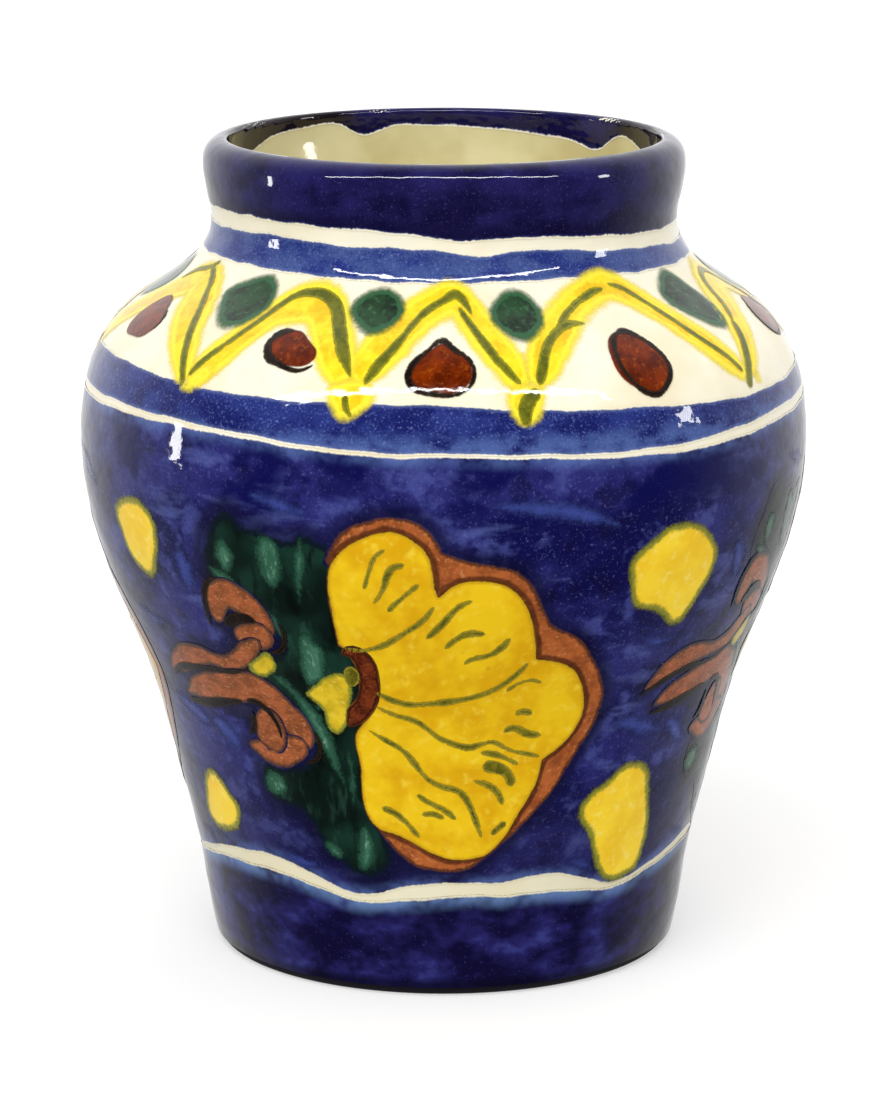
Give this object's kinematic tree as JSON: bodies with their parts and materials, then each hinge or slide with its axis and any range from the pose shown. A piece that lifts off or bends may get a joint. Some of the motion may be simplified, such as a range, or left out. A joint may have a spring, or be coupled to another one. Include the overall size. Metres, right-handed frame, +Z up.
{
  "type": "talavera pottery vase",
  "caption": "Small round-bellied earthenware vase with a short collar, tin-glazed and hand painted in cobalt blue, yellow, rust and green.",
  "frame": {"origin": "centre of the foot, on the plane that the vase stands on", "axes": "+Z up the vase's axis; -Y is the painted front, with one flower facing it"},
  "size_m": [0.1128, 0.1128, 0.127],
  "materials": {
    "fired_clay": "bare fired earthenware, pinkish buff",
    "inside_glaze": "yellowish cream tin glaze, glossy",
    "cream_glaze": "warm white tin glaze, glossy",
    "rim_blue": "dark violet cobalt, glossy, grainy",
    "band_blue": "cobalt blue, grainy",
    "body_blue": "mottled violet cobalt, glossy",
    "foot_blue": "dark cobalt, glossy",
    "bright_yellow": "bright lemon yellow glaze",
    "olive_line": "olive green brush line",
    "dot_green": "dark copper green",
    "dot_brown": "red brown iron glaze",
    "dark_line": "brown black brush line",
    "petal_yellow": "golden yellow glaze",
    "rust": "rust orange brush work",
    "rust_dark": "dark rust brush work",
    "leaf_green": "dark copper green with lighter strokes",
    "spot_yellow": "soft edged golden yellow glaze"
  },
  "bodies": {
    "root": {"clay_body": "fired_clay", "inside_glaze": "inside_glaze", "outside_glaze": "cream_glaze", "rim_blue_glaze": "rim_blue", "neck_blue_band": "band_blue", "shoulder_blue_band": "band_blue", "body_blue_ground": "body_blue", "foot_blue_band": "foot_blue", "zigzag_yellow": "bright_yellow", "zigzag_brush_line": "olive_line", "green_dots": "dot_green", "brown_dots": "dot_brown", "brown_dot_outlines": "dark_line", "flower_petals": "petal_yellow", "flower_rust_borders": "rust", "flower_centre_arcs": "rust_dark", "flower_hearts": "petal_yellow", "flower_leaves": "leaf_green", "flower_buds": "rust", "petal_veins": "olive_line", "yellow_spots": "spot_yellow"}
  },
  "joints": []
}
